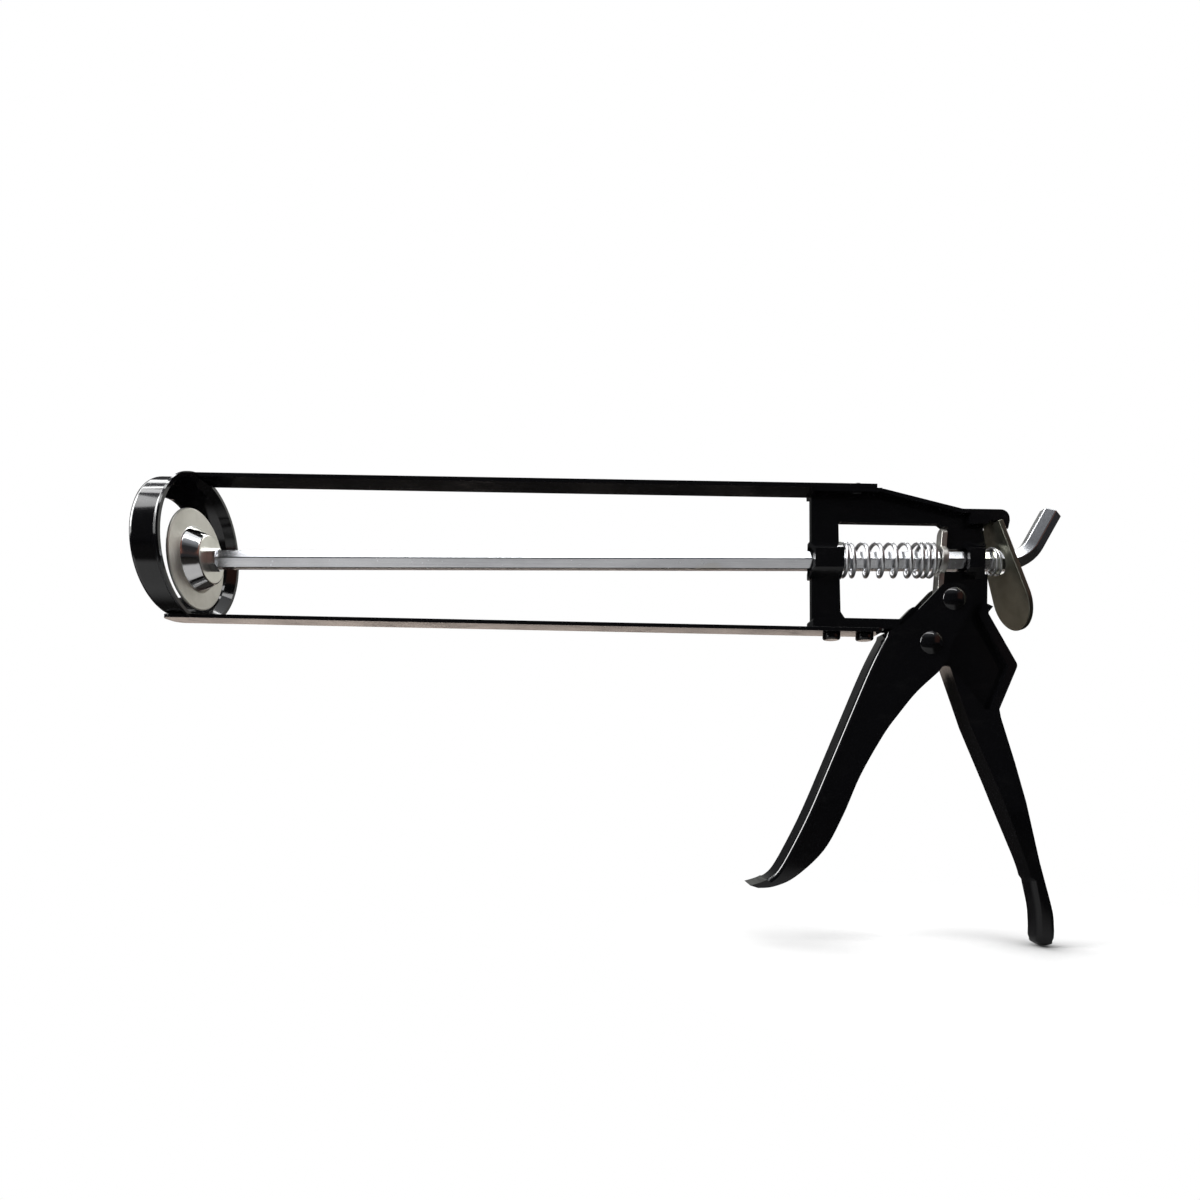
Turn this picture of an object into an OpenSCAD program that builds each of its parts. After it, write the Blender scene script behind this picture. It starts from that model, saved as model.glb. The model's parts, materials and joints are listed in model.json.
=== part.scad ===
// Skeleton caulking gun for a standard 310 ml cartridge.
// The origin is the centre of the nozzle hole on the ring's front face.
// X runs back to the handle, Z is up and Y is across the gun. Millimetres.

/* [Cartridge ring] */
// Bore that the front of the cartridge sits in
ring_bore_d = 50.5; // [40:0.5:62]
// Depth of the ring from its front face to its rear rim
ring_depth = 12.8; // [10:0.1:18]
// Sheet thickness of the ring
ring_wall = 1.5; // [1:0.1:2]
// Hole in the ring's front face that the nozzle passes through
nozzle_hole_d = 38.2; // [24:0.2:42]
// How far the rear rim flares out past the ring's outside
flare_rise = 2.1; // [1.6:0.1:3]
// Length of the flared part
flare_len = 3; // [2:0.1:4]

/* [Straps] */
// Width of both straps
strap_w = 11.8; // [10:0.1:14]
// Thickness of both straps
strap_t = 1.5; // [1:0.1:2]
// Distance from the ring's front face to the body
bay_len = 252; // [200:1:310]
// Length of the top strap that lies on the body
top_strap_lap = 24; // [20:1:26]
// Length of the bottom strap that lies under the body
bottom_strap_lap = 27.5; // [26:0.5:28]
// Shank of the rivets that hold the bottom strap
strap_rivet_d = 3.6; // [3:0.1:4]

/* [Body and handle] */
// Sheet thickness of the two body halves
body_sheet = 1.5; // [1.2:0.1:1.6]
// Width of the front column
column_w = 11; // [9:0.5:12]
// Half width of the flange that carries the top strap
flange_half_w = 5.8; // [5:0.1:6.5]
// Half width of the pressed rims, the hook and the top of the handle
rim_half_w = 4.9; // [4.2:0.1:4.9]
// Height of the hollow rail above the bottom strap
rail_h = 3.8; // [3.4:0.1:6]
// Sheet thickness left around the hollow handle
handle_wall = 1.2; // [0.8:0.1:1.5]

/* [Push rod] */
// Width across the flats of the hexagonal rod
rod_af = 6.8; // [5.5:0.1:7.2]
// Angle by which the rod climbs towards the rear
rod_rise = 0.96; // [0:0.02:1.2]
// Height of the rod's centre where it enters the body
rod_entry_z = -0.2; // [-2:0.02:0.4]
// Clearance around the rod in the body's guides
guide_gap = 0.37; // [0.2:0.01:0.5]
// Angle that the rear end of the rod is bent up
bend_angle = 61.5; // [40:0.5:75]
// Radius of that bend at the rod's centre
bend_r = 12; // [8:0.5:14]
// Length of the straight end after the bend
bend_leg = 14.2; // [10:0.1:20]

/* [Piston] */
// Diameter of the piston disc
disc_d = 39.3; // [30:0.1:42]
// Sheet thickness of the piston disc
disc_t = 1.2; // [0.8:0.1:1.6]
// Diameter of the pressed hub at the disc
hub_base_d = 24.8; // [22:0.1:27]
// Diameter of the hub's flat face
hub_face_d = 18.6; // [17:0.1:21]
// Height of the hub from the disc's front to its flat face
hub_h = 6.9; // [6.9:0.1:9]
// Gap between the piston disc and the ring's bore wall, along the rod
disc_gap = 0.4; // [0.35:0.01:2]

/* [Trigger] */
// Sheet thickness of the trigger
trigger_sheet = 1.2; // [1:0.1:1.5]
// Half width of the trigger over its cheeks
trigger_half_w = 6.5; // [6.5:0.1:7.5]
// Diameter of the trigger pivot rivet's shank
pivot_d = 5; // [4:0.1:6]
// Outside diameter of the bush on the pivot
bush_d = 8; // [7:0.1:9]
// Outside diameter of the sleeve that pushes the drive plate
sleeve_d = 5.2; // [4.2:0.1:6.4]
// Diameter of the pusher pin's shank
pusher_d = 3.4; // [3:0.1:3.8]
// Diameter of the rivet heads on the cheeks
rivet_head_d = 9; // [7:0.1:10]

/* [Drive plate and springs] */
// Thickness of the drive plate
dog_t = 2.2; // [1.6:0.1:3.2]
// Angle by which the drive plate leans back on the rod
dog_lean = 3; // [0:0.5:4]
// Wire of the main spring
spring_wire = 1.45; // [1:0.05:1.6]
// Outside diameter of the main spring
spring_od = 14; // [13.2:0.1:15]
// Wire of the release spring
release_wire = 0.75; // [0.6:0.05:0.8]
// Outside diameter of the release spring
release_od = 11; // [10.8:0.1:12]

/* [Release lever] */
// Thickness of the release lever
lever_t = 1.7; // [1.2:0.1:2]
// Length of the release lever from its straight top edge to its thumb end
lever_len = 41.9; // [38:0.1:48]
// Half width of the lever at its top edge
lever_top_w = 8.5; // [7:0.1:10]
// Radius of the thumb end
lever_thumb_r = 11.9; // [11:0.1:16]
// Half width of the tab that is caught under the hook
lever_tab_w = 3; // [2:0.1:3.2]
// Angle by which the lever leans away from the vertical
lever_cant = 18.3; // [14:0.1:20]

/* [Hidden] */
$fn = 96;

fit = 0.02;
run_gap = 0.05;
side_gap = 0.1;
ring_r = ring_bore_d / 2 + ring_wall;
strap_z = ring_r;
body_x = bay_len;

// The grip's outlines are drawn for this strap height; a larger ring lowers them with the strap
drawn_strap_z = 26.75;
grip_z = min(0, drawn_strap_z - strap_z);

// The rod's own frame: its X is the rod's centre line
rod_start_z = rod_entry_z - body_x * tan(rod_rise);
rod_corner_r = rod_af / 2 / cos(30);

// The guides are pressed to a trapezoid: these are its half heights and its depth
guide_base_h = 7.2;
guide_flat_h = 3.7;
guide_depth = rod_corner_r + guide_gap + body_sheet;
function rod_z(x) = rod_start_z + x * tan(rod_rise);

// Piston stack along the rod, front to rear
disc_r = disc_d / 2;
flare_bend = 0.55;
wall_end = ring_depth - flare_len - flare_bend;
disc_x = wall_end + disc_r * sin(rod_rise) + disc_gap;
face_x = disc_x + hub_h;
lock_nut_t = 3.2;
lock_nut_af = rod_af + 1.4;
washer_t = 0.8;
nut_t = 3.6;
nut_af = 10;
spigot_r = 2.9;
shoulder_x = face_x + lock_nut_t;
spigot_tip = 0.8;
spigot_x = face_x - disc_t - washer_t - nut_t - spigot_tip;

// Places in the body's side view, from the body's front edge
pivot = [45.8, grip_z - 32.1];
pusher = [54.05, grip_z - 15.2];
max_squeeze = 45;
rear_guide_x = 59.2;
rear_guide_end = 67.4;
rear_face_x = 68.8;
front_guide_end = column_w + 1.2;
window_top = 14.9;
window_step = 1.2;
rail_top = rail_h - strap_z;
rail_end = 33;
hook_x = 66.5;
hook_end = [74.9, 15.4];
hook_top = 19.65;
column_lean = 1.5;
rail_half_w = 4.5;
top_rivet_x = 17;
top_rivet_y = 3.5;
top_rivet_r = 1.2;
bottom_rivet_x = [9.6, 22.4];

// Drive plate: its rear face stands just in front of the pusher's sleeve and leans back above it
dog_gap = 0.25;
dog_tab_w = 5;
dog_hole_r = rod_corner_r + 0.3;
dog_rim = 1.4;
dog_r = dog_hole_r + dog_rim;
dog_foot = [body_x + pusher[0] - sleeve_d / 2 - dog_gap, pusher[1]];
dog_z = rod_z(dog_foot[0]);
dog_x = dog_foot[0] + (dog_z - dog_foot[1]) * tan(dog_lean) - dog_t / cos(dog_lean);
dog_way_gap = 0.3;
dog_way_x = dog_foot[0] + (window_top - dog_foot[1]) * tan(dog_lean) + dog_way_gap - body_x;
dog_way_foot_x = dog_foot[0] + 2 * tan(dog_lean) + dog_way_gap - body_x;

// Release lever: the centre of its top edge, just under the hook
lever_top = [body_x + 69.6, 14.5];
lever_tab_h = 3;
lever_hole_r = rod_corner_r + 0.9;
lever_hole_x = lever_top[0] + lever_top[1] * tan(lever_cant);
lever_hole_drop = (lever_top[1] - rod_z(lever_hole_x)) / cos(lever_cant);

// ---------- outline helpers ----------

function unit(v) = v / norm(v);

// The arc that rounds corner b between a and c with radius r
function corner_arc(a, b, c, r, steps = 8) =
    let (
        u = unit(a - b),
        w = unit(c - b),
        half = acos(max(-1, min(1, u * w))) / 2,
        reach = r / tan(half),
        centre = b + unit(u + w) * (r / sin(half)),
        from = b + u * reach - centre,
        to = b + w * reach - centre,
        start = atan2(from[1], from[0]),
        turn = atan2(from[0] * to[1] - from[1] * to[0], from * to)
    )
    [for (i = [0 : steps]) centre + r * [cos(start + turn * i / steps), sin(start + turn * i / steps)]];

// Corners are [x, z, radius]; a radius of 0 keeps the corner sharp
function rounded(corners) =
    let (count = len(corners))
    [for (i = [0 : count - 1])
        let (
            a = corners[(i + count - 1) % count],
            b = corners[i],
            c = corners[(i + 1) % count]
        )
        each b[2] == 0
            ? [[b[0], b[1]]]
            : corner_arc([a[0], a[1]], [b[0], b[1]], [c[0], c[1]], b[2])];

// A smooth curve through the points (Catmull-Rom)
function curve(points, steps = 5) =
    let (last = len(points) - 1)
    [
        for (i = [0 : last - 1], k = [0 : steps - 1])
            let (
                p0 = points[max(i - 1, 0)],
                p1 = points[i],
                p2 = points[i + 1],
                p3 = points[min(i + 2, last)],
                t = k / steps
            )
            0.5 * (2 * p1 + (p2 - p0) * t + (2 * p0 - 5 * p1 + 4 * p2 - p3) * t * t
                + (3 * p1 - p0 - 3 * p2 + p3) * t * t * t),
        points[last]
    ];

// An open path moved sideways, to its left for a positive distance
function beside(path, distance) =
    let (last = len(path) - 1)
    [for (i = [0 : last])
        let (along = unit(path[min(i + 1, last)] - path[max(i - 1, 0)]))
        path[i] + distance * [-along[1], along[0]]];

function reversed(list) = [for (i = [len(list) - 1 : -1 : 0]) list[i]];

// Points on an arc from one angle to another
function arc(centre, r, from, to, steps = 24) =
    [for (i = [0 : steps])
        let (a = from + (to - from) * i / steps)
        centre + r * [cos(a), sin(a)]];

// Grip points, with or without a corner radius, moved down with the strap
function lowered(points) =
    [for (p = points)
        len(p) == 3 ? p + [0, grip_z, 0] : p + [0, grip_z]];

// ---------- solid helpers ----------

// Side-view outline made solid from y = from to y = to
module slab(from, to) {
    translate([0, to, 0])
        rotate([90, 0, 0])
            linear_extrude(to - from)
                children();
}

// A cylinder across the gun at a side-view point
module across(at, r, from, to) {
    translate([at[0], to, at[1]])
        rotate([90, 0, 0])
            cylinder(r = r, h = to - from);
}

module in_body() {
    translate([body_x, 0, 0])
        children();
}

module along_rod(x = 0) {
    translate([0, 0, rod_start_z])
        rotate([0, -rod_rise, 0])
            translate([x, 0, 0])
                children();
}

// A cylinder or, with sides = 6, a hexagon with corners up and down, along X
module bar(r, len, sides = 96) {
    rotate([0, 90, 0])
        cylinder(r = r, h = len, $fn = sides);
}

// Shank between two low domed heads, along Y, centred on y = 0
module domed_rivet(at, shank_r, head_r, head_h, half_grip) {
    dome_r = (head_r * head_r + head_h * head_h) / (2 * head_h);
    dome_angle = asin(head_r / dome_r);
    dome = [for (i = [0 : 8])
        [dome_r * sin(dome_angle * i / 8), half_grip + head_h - dome_r * (1 - cos(dome_angle * i / 8))]];
    side = concat(reversed(dome), [[0, 0], [shank_r, 0], [shank_r, half_grip]]);
    translate([at[0], 0, at[1]])
        rotate([90, 0, 0])
            for (end = [0, 1])
                mirror([0, 0, end])
                    rotate_extrude()
                        polygon(side);
}

// Round wire swept along a list of points, closed at both ends
module wire(points, r, sides = 8) {
    last = len(points) - 1;
    rings = [for (i = [0 : last])
        let (
            along = unit(points[min(i + 1, last)] - points[max(i - 1, 0)]),
            side = unit(cross(along, [1, 0.001, 0])),
            up = cross(side, along)
        )
        for (k = [0 : sides - 1])
            points[i] + r * (cos(360 * k / sides) * side + sin(360 * k / sides) * up)];
    walls = [for (i = [0 : last - 1], k = [0 : sides - 1])
        let (n = (k + 1) % sides)
        [i * sides + k, i * sides + n, (i + 1) * sides + n, (i + 1) * sides + k]];
    front = [[for (k = [sides - 1 : -1 : 0]) k]];
    back = [[for (k = [0 : sides - 1]) last * sides + k]];
    polyhedron(points = rings, faces = concat(front, walls, back));
}

// ---------- cartridge ring and straps ----------

module front_ring() {
    bore_r = ring_bore_d / 2;
    lip_r = nozzle_hole_d / 2;
    flare_x = ring_depth - flare_len;
    section = rounded([
        [lip_r, 0, 0],
        [ring_r, 0, 2.2],
        [ring_r, flare_x, 0],
        [ring_r + flare_rise, ring_depth - 0.9, 0],
        [ring_r + flare_rise, ring_depth, 0],
        [bore_r + flare_rise, ring_depth, 0],
        [bore_r, flare_x - 0.3, 0],
        [bore_r, ring_wall, 0],
        [lip_r, ring_wall, 0]
    ]);
    color([0.03, 0.03, 0.03])
        difference() {
            rotate([0, 90, 0])
                rotate_extrude()
                    polygon(section);
            // the bottom strap passes through a notch in the flare
            translate([flare_x - 1, -strap_w / 2 - side_gap, -strap_z - 10])
                cube([flare_len + 2, strap_w + 2 * side_gap, 10]);
        }
}

module top_strap() {
    color([0.03, 0.03, 0.03])
        difference() {
            translate([ring_depth, -strap_w / 2, strap_z])
                cube([body_x + top_strap_lap - ring_depth, strap_w, strap_t]);
            for (side = [-1, 1])
                translate([body_x + top_rivet_x, side * top_rivet_y, strap_z - 1])
                    cylinder(r = top_rivet_r + fit, h = strap_t + 2);
        }
}

module bottom_strap() {
    front_round = 4;
    start = 0;
    end = body_x + bottom_strap_lap;
    half = strap_w / 2;
    plan = rounded([
        [start, -half, front_round],
        [end, -half, 1.5],
        [end, half, 1.5],
        [start, half, front_round]
    ]);
    color([0.03, 0.03, 0.03])
        difference() {
            translate([0, 0, -strap_z - strap_t])
                linear_extrude(strap_t)
                    polygon(plan);
            for (x = bottom_rivet_x)
                translate([body_x + x, 0, -strap_z - strap_t - 1])
                    cylinder(d = strap_rivet_d + 2 * fit, h = strap_t + 2);
        }
}

// ---------- body halves with the handle ----------

// Half a stamping's flat web, with its window, slot and holes left solid
web_outline = concat(
    [
        [0, strap_z, 0],
        [27, strap_z, 3],
        [57, hook_top, 4],
        [hook_x, hook_top, 0],
        [hook_x, 12.8, 0],
        [67.5, 7, 0],
        [rear_face_x - 0.2, -1.9, 0]
    ],
    lowered([
        [rear_face_x, -15.6, 0],
        [69.4, -17.5, 0],
        [67.5, -19.9, 1],
        [79.3, -39.7, 2.5],
        [72.7, -56.7, 0],
        [67.5, -56.9, 0],
        [53.3, -40.1, 0],
        [46, -41.8, 3],
        [37, -36.5, 4]
    ]),
    [
        [rail_end, -strap_z, 0],
        [column_lean, -strap_z, 0]
    ]
);

window_outline = [
    [column_w - 0.2, window_top, 1],
    [49.6, window_top, 0.8],
    [51.2, window_top - window_step, 0.8],
    [dog_way_x, window_top - window_step, 0.5],
    [dog_way_foot_x, pusher[1] + 2, 0.5],
    [dog_way_foot_x + 1, pusher[1] - 1.4, 0],
    [pivot[0], pusher[1] - 1.8, 0],
    [40, pusher[1] - 2.4, 2],
    [35, rail_top, 2],
    [column_w + 3.6, rail_top, 2],
    [column_w + 1.5, rail_top + 3, 1]
];

// Sector that the pusher's sleeve sweeps through the web
module pusher_sweep(turn) {
    sweep_gap = 0.4;
    clear_r = sleeve_d / 2 + sweep_gap;
    reach = norm(pusher - pivot);
    rest = atan2(pusher[1] - pivot[1], pusher[0] - pivot[0]);
    polygon(concat(
        arc(pivot, reach - clear_r, rest, rest + turn),
        arc(pivot, reach + clear_r, rest + turn, rest)
    ));
    translate(pusher)
        circle(r = clear_r);
}

// Side view of the pressed rim down the rear edge, in its outer and inner line
rim_outline = lowered([
    [65.4, -16.2, 0],
    [67.5, -16.6, 0],
    [69.4, -17.5, 0],
    [67.5, -19.9, 1],
    [79.3, -39.7, 2.5],
    [72.7, -56.7, 0],
    [69.3, -57.1, 0],
    [75.8, -40.6, 1.5],
    [64.3, -21.2, 1]
]);

// Side view of the handle below the V-shaped step
handle_front = lowered(curve([[62, -63.6], [72.2, -85.9], [79.8, -103.6], [85.4, -117.5], [87.3, -125], [89, -133], [89.6, -140.4]]));
handle_rear = lowered(curve([[73.4, -60], [78.8, -76.8], [83.8, -93.8], [88.8, -110.1], [93, -124], [95.9, -134], [96.6, -141]]));
foot = [93.1, grip_z - 143.9];
foot_r = 3.5;
foot_half_w = 4.2;
handle_outline = concat(
    lowered([[67.5, -56.9], [53.3, -40.1]]),
    handle_front,
    arc(foot, foot_r, 180, 360, 8),
    reversed(handle_rear),
    lowered([[72.7, -56.7]])
);
handle_cavity = concat(
    lowered([[67.3, -59.2], [56.3, -46.2]]),
    beside(handle_front, handle_wall),
    arc(foot, foot_r - handle_wall, 180, 360, 8),
    reversed(beside(handle_rear, -handle_wall)),
    lowered([[71.6, -59.2]])
);

// Half width of the handle down its height, as seen from the front
handle_widths = concat(
    lowered([[rim_half_w, -35], [rim_half_w, -60], [5.7, -92], [4.7, -115], [4.3, -132]]),
    arc([0, foot[1] - foot_r + foot_half_w], foot_half_w, 0, -90, 6)
);
module width_slab(inset) {
    widths = concat(
        [[0, handle_widths[0][1]]],
        [for (p = handle_widths) if (p[0] > inset) [inset - p[0], p[1]]],
        [[0, foot[1] - foot_r + inset]]
    );
    translate([50, 0, 0])
        rotate([90, 0, 90])
            linear_extrude(50)
                polygon(widths);
}

module handle_half() {
    difference() {
        intersection() {
            slab(-8, 0) polygon(handle_outline);
            width_slab(0);
        }
        intersection() {
            slab(-8, 1) polygon(handle_cavity);
            union() {
                width_slab(handle_wall);
                translate([50, 0, grip_z - 150]) cube([50, 1, 150]);
            }
        }
    }
}

// Top flange: wide under the strap, then narrower down to the hook
module top_flange() {
    slab(-flange_half_w, 0)
        polygon([
            [0, strap_z], [26, strap_z], [26, strap_z - body_sheet], [0.1, strap_z - body_sheet]
        ]);
    slab(-rim_half_w, 0)
        polygon(rounded([
            [24, strap_z, 0],
            [27, strap_z, 3],
            [57, hook_top, 4],
            [hook_end[0] - 0.4, hook_top, 3.4],
            [hook_end[0], hook_end[1], 0],
            [hook_end[0] - 0.6, 12.2, 0.5],
            [hook_end[0] - 1.9, 12.2, 0.5],
            [hook_end[0] - 1.9, hook_top - body_sheet, 2],
            [56.6, hook_top - body_sheet, 4],
            [26.8, strap_z - body_sheet, 3],
            [24, strap_z - body_sheet, 0]
        ]));
}

// Side wall of the hook, and the step that joins it to the web
module hook_side() {
    slab(-rim_half_w, -rim_half_w + body_sheet)
        polygon(rounded([
            [60, hook_top - 0.5, 0],
            [hook_end[0] - 0.8, hook_top - 0.5, 3],
            [hook_end[0] - 0.8, 13, 0],
            [hook_end[0] - 3, 15.5, 1],
            [67.6, 15.5, 1],
            [hook_x, 14.1, 0],
            [60, 14, 0]
        ]));
    slab(-rim_half_w, 0)
        polygon([
            [60, hook_top - 0.5], [hook_x, hook_top - 0.5], [hook_x, 14.1], [60, 14]
        ]);
}

// Hollow rail that stands on the bottom strap
module rail() {
    difference() {
        slab(-rail_half_w, 0)
            polygon(rounded([
                [1.3, -strap_z, 0],
                [1, rail_top, 1.2],
                [rail_end, rail_top, 0],
                [rail_end + body_sheet, rail_top, 0],
                [rail_end + body_sheet, -strap_z, 0]
            ]));
        slab(-rail_half_w + body_sheet, 1)
            polygon([
                [1 + body_sheet, -strap_z + body_sheet],
                [1 + body_sheet, rail_top - body_sheet],
                [rail_end, rail_top - body_sheet],
                [rail_end, -strap_z + body_sheet]
            ]);
    }
}

// Half heights of the channel inside a guide, one sheet in from its outside
guide_slope = (guide_base_h - guide_flat_h) / (guide_depth - body_sheet);
guide_inset = body_sheet * norm([1, guide_slope]);
guide_inner_flat_h = guide_flat_h + body_sheet * guide_slope - guide_inset;
guide_inner_base_h = guide_inner_flat_h + (guide_depth - body_sheet) * guide_slope;

// Something drawn in the rod's frame, between two places in the body
module from_rod(x, len) {
    translate([-body_x, 0, 0])
        along_rod(body_x + x)
            rotate([90, 0, 90])
                linear_extrude(len)
                    children();
}

// Guide pressed out around the rod, with its two ends sloped back to the web
module guide(from, to, front_slope, rear_slope) {
    len = to - from;
    intersection() {
        from_rod(from, len)
            polygon([
                [0, guide_base_h], [-body_sheet, guide_base_h], [-guide_depth, guide_flat_h],
                [-guide_depth, -guide_flat_h], [-body_sheet, -guide_base_h], [0, -guide_base_h]
            ]);
        translate([from - 0.2, 0, -20])
            linear_extrude(40)
                polygon([
                    [0, 0], [0, -body_sheet], [front_slope, -guide_depth],
                    [len + 0.4 - rear_slope, -guide_depth], [len + 0.4, -body_sheet], [len + 0.4, 0]
                ]);
    }
}

module guide_channel(from, to) {
    from_rod(from, to - from)
        polygon([
            [1, guide_inner_base_h + guide_slope], [body_sheet - guide_depth, guide_inner_flat_h],
            [body_sheet - guide_depth, -guide_inner_flat_h], [1, -guide_inner_base_h - guide_slope]
        ]);
}

// The left half; the right half is its mirror image
module body_half() {
    slot_half_h = guide_inner_flat_h + 1.3;
    slot_lap = 0.4;
    difference() {
        union() {
            difference() {
                slab(-body_sheet, 0) polygon(rounded(web_outline));
                slab(-body_sheet - 1, 1) polygon(rounded(window_outline));
                slab(-body_sheet - 1, 1)
                    polygon([
                        [2 + body_sheet, -strap_z + body_sheet],
                        [2 + body_sheet, rail_top - body_sheet],
                        [rail_end, rail_top - body_sheet],
                        [rail_end, -strap_z + body_sheet]
                    ]);
            }
            top_flange();
            hook_side();
            rail();
            slab(-rim_half_w, 0) polygon(rounded(rim_outline));
            handle_half();
            guide(0, front_guide_end, 1.4, 0);
            guide(rear_guide_x, rear_guide_end, 0.8, 2);
        }
        slab(-body_sheet - 1, 1) pusher_sweep(max_squeeze);
        across(pivot, bush_d / 2 + fit, -20, 1);
        // the rod's way through both guides, and the slot between them
        guide_channel(-5, front_guide_end + 1);
        guide_channel(rear_guide_x, rear_face_x + 5);
        translate([-body_x, 0, 0])
            along_rod(body_x + dog_way_foot_x - slot_lap)
                translate([0, -20, -slot_half_h])
                    cube([rear_guide_x - dog_way_foot_x + 2 * slot_lap, 21, 2 * slot_half_h]);
        for (x = bottom_rivet_x)
            translate([x, 0, -strap_z - 1])
                cylinder(d = strap_rivet_d + 2 * fit, h = body_sheet + 2);
        translate([top_rivet_x, -top_rivet_y, strap_z - body_sheet - 1])
            cylinder(r = top_rivet_r + fit, h = body_sheet + 2);
    }
}

module body_left() {
    color([0.03, 0.03, 0.03])
        in_body() body_half();
}

module body_right() {
    color([0.03, 0.03, 0.03])
        in_body() mirror([0, 1, 0]) body_half();
}

module top_strap_rivets() {
    color([0.03, 0.03, 0.03])
        for (side = [-1, 1])
            translate([body_x + top_rivet_x, side * top_rivet_y, 0]) {
                translate([0, 0, strap_z - body_sheet - 0.6])
                    cylinder(r = 1.9, h = 0.6);
                translate([0, 0, strap_z - body_sheet])
                    cylinder(r = top_rivet_r, h = body_sheet + strap_t);
                translate([0, 0, strap_z + strap_t])
                    cylinder(r1 = 2.2, r2 = 1.5, h = 0.7);
            }
}

module bottom_strap_rivets() {
    head_d = 6.7;
    head_h = 2.5;
    tail_r = rail_half_w - body_sheet - side_gap - 0.3;
    color([0.03, 0.03, 0.03])
        for (x = bottom_rivet_x)
            translate([body_x + x, 0, -strap_z]) {
                translate([0, 0, -strap_t - head_h]) {
                    cylinder(d1 = head_d - 1, d2 = head_d, h = 0.5);
                    translate([0, 0, 0.5]) cylinder(d = head_d, h = head_h - 0.5);
                }
                translate([0, 0, -strap_t])
                    cylinder(d = strap_rivet_d, h = strap_t + body_sheet);
                translate([0, 0, body_sheet])
                    cylinder(r = tail_r, h = 0.6);
            }
}

// ---------- trigger ----------

trigger_front = lowered(curve([
    [29.5, -28], [22.6, -42.4], [10.8, -72.4], [1, -97.2], [-6, -112.2],
    [-10, -119.6], [-12.6, -122.7], [-16.1, -124.8], [-20.8, -126.4]
]));
trigger_rear = lowered(curve([
    [48.6, -43.2], [40.6, -51], [34.2, -59.2], [28.3, -67.8], [20.1, -83.2], [13.8, -98.8],
    [6.8, -112.3], [-3.7, -122.6], [-11.6, -126.5], [-17.7, -127.3]
]));
trigger_top = lowered(rounded([
    [34, -25.7, 0],
    [38.6, -21.6, 2],
    [50, -9.2, 3],
    [pusher[0] + 6.6, -9, 6],
    [pusher[0] + 6.6, -18, 4],
    [53.6, -32, 4],
    [52.2, -38, 0]
]));

module trigger() {
    outline = concat(reversed(trigger_front), trigger_top, trigger_rear);
    inner_front = beside(trigger_front, trigger_sheet);
    cavity = concat(
        [[-16, -140], [60, -140], [70, -60], [70, 0], [30.5, 0]],
        inner_front
    );
    half = trigger_half_w;
    inner = half - trigger_sheet;
    color([0.03, 0.03, 0.03])
        in_body()
            difference() {
                slab(-half, half) polygon(outline);
                slab(-inner, inner) polygon(cavity);
                across(pivot, pivot_d / 2 + fit, -20, 20);
                across(pusher, pusher_d / 2 + fit, -20, 20);
            }
}

module trigger_pivot_rivet() {
    color([0.05, 0.05, 0.05])
        in_body()
            domed_rivet(pivot, pivot_d / 2, rivet_head_d / 2, 1.7, trigger_half_w);
}

module trigger_pivot_bush() {
    half = trigger_half_w - trigger_sheet - side_gap;
    color([0.7, 0.7, 0.72])
        in_body()
            difference() {
                across(pivot, bush_d / 2, -half, half);
                across(pivot, pivot_d / 2 + run_gap, -half - 1, half + 1);
            }
}

module pusher_pin() {
    color([0.05, 0.05, 0.05])
        in_body()
            domed_rivet(pusher, pusher_d / 2, rivet_head_d / 2, 1.7, trigger_half_w);
}

module pusher_sleeve() {
    half = trigger_half_w - trigger_sheet - side_gap;
    color([0.7, 0.7, 0.72])
        in_body()
            difference() {
                across(pusher, sleeve_d / 2, -half, half);
                across(pusher, pusher_d / 2 + fit, -half - 1, half + 1);
            }
}

// ---------- drive plate, springs and release lever ----------

module drive_plate() {
    tab_r = dog_tab_w / 2;
    top = window_top - window_step - dog_z - 0.4;
    bottom = dog_z - dog_foot[1] + 1;
    color([0.78, 0.78, 0.76])
        translate([dog_x, 0, dog_z])
            rotate([0, dog_lean, 0])
                rotate([90, 0, 90])
                    linear_extrude(dog_t)
                        difference() {
                            union() {
                                circle(r = dog_r);
                                translate([-tab_r, -bottom + tab_r]) square([dog_tab_w, top + bottom - 2 * tab_r]);
                                translate([0, top - tab_r]) circle(r = tab_r);
                                translate([0, -bottom + tab_r]) circle(r = tab_r);
                            }
                            circle(r = dog_hole_r);
                        }
}

// Coil around the rod: close turns at both ends, open turns between
module main_spring() {
    start = body_x + front_guide_end + spring_wire / 2 + run_gap;
    end = dog_x - spring_od / 2 * tan(dog_lean + rod_rise) - spring_wire / 2 - run_gap;
    front_turns = 1;
    rear_turns = 3;
    open_turns = 5;
    close_pitch = spring_wire * 1.06;
    rear_pitch = spring_wire * 1.65;
    open_pitch = (end - start - front_turns * close_pitch - rear_turns * rear_pitch) / open_turns;
    turns = front_turns + open_turns + rear_turns;
    coil_r = (spring_od - spring_wire) / 2;
    steps = 18;
    function travel(n) =
        n < front_turns ? n * close_pitch
        : n < front_turns + open_turns ? front_turns * close_pitch + (n - front_turns) * open_pitch
        : end - start - (turns - n) * rear_pitch;
    color([0.8, 0.8, 0.8])
        along_rod()
            wire([for (i = [0 : turns * steps])
                let (a = 360 * i / steps)
                [start + travel(i / steps), -coil_r * sin(a), coil_r * cos(a)]], spring_wire / 2);
}

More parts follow.
